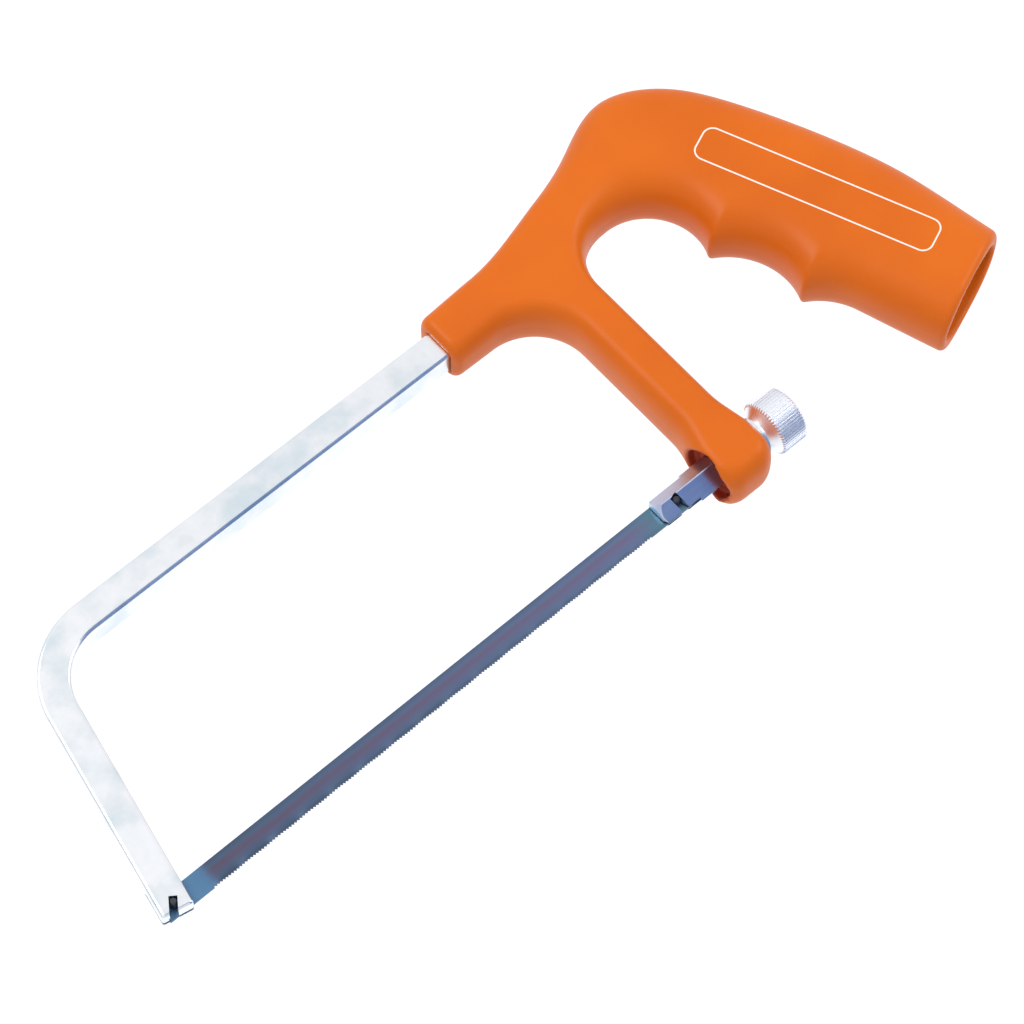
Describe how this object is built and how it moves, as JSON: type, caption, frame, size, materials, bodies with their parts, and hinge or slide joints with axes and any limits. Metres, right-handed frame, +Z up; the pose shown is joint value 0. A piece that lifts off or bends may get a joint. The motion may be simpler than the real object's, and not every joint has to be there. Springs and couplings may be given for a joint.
{
  "type": "junior hacksaw",
  "caption": "Small hacksaw: one bent square bar, moulded pistol-grip handle, pinned fine-toothed blade and a knurled nut that draws a hooked rod to tighten it.",
  "frame": {"origin": "under the middle of the saw's bounding box, with the saw lying on its side, on the surface it lies on", "axes": "+X back along the blade towards the handle, +Y in the saw's plane from the blade to the bar, +Z up, square to the saw's plane"},
  "size_m": [0.2598, 0.102, 0.023],
  "materials": {
    "plated_bar": "bright nickel plate over a drawn square bar",
    "handle_plastic": "satin injection-moulded orange plastic",
    "plain_steel": "plain turned steel",
    "rod_steel": "blue-grey plated square rod",
    "plated_nut": "bright plated, straight knurl",
    "blade_steel": "hardened, blued, with a heat tint along the teeth"
  },
  "bodies": {
    "frame": {"frame_bar": "plated_bar", "handle": "handle_plastic", "thrust_washer": "plain_steel"},
    "nut": {"thumb_nut": "plated_nut"},
    "rod": {"tension_rod": "rod_steel"},
    "blade": {"blade": "blade_steel", "blade_front_pin": "plain_steel", "blade_rear_pin": "plain_steel"}
  },
  "joints": [
    {"name": "nut_turn", "type": "hinge", "parent": "frame", "child": "nut", "pos_m": [0.0508, -0.04, 0.01148], "axis": [1, 0, 0], "range_deg": [0, 1800]},
    {"name": "rod_slide", "type": "slide", "parent": "frame", "child": "rod", "axis": [-1, 0, 0], "range_m": [0, 0.00407]},
    {"name": "blade_swing", "type": "hinge", "parent": "frame", "child": "blade", "pos_m": [-0.12535, -0.04095, 0.01148], "axis": [0, 0, -1], "range_deg": [0, 4.51]}
  ],
  "couplings": [
    {"joint": "rod_slide", "follows": "nut_turn", "m_per_rad": 0.00012732},
    {"joint": "blade_swing", "follows": "nut_turn", "ratio": 0.0024652}
  ]
}
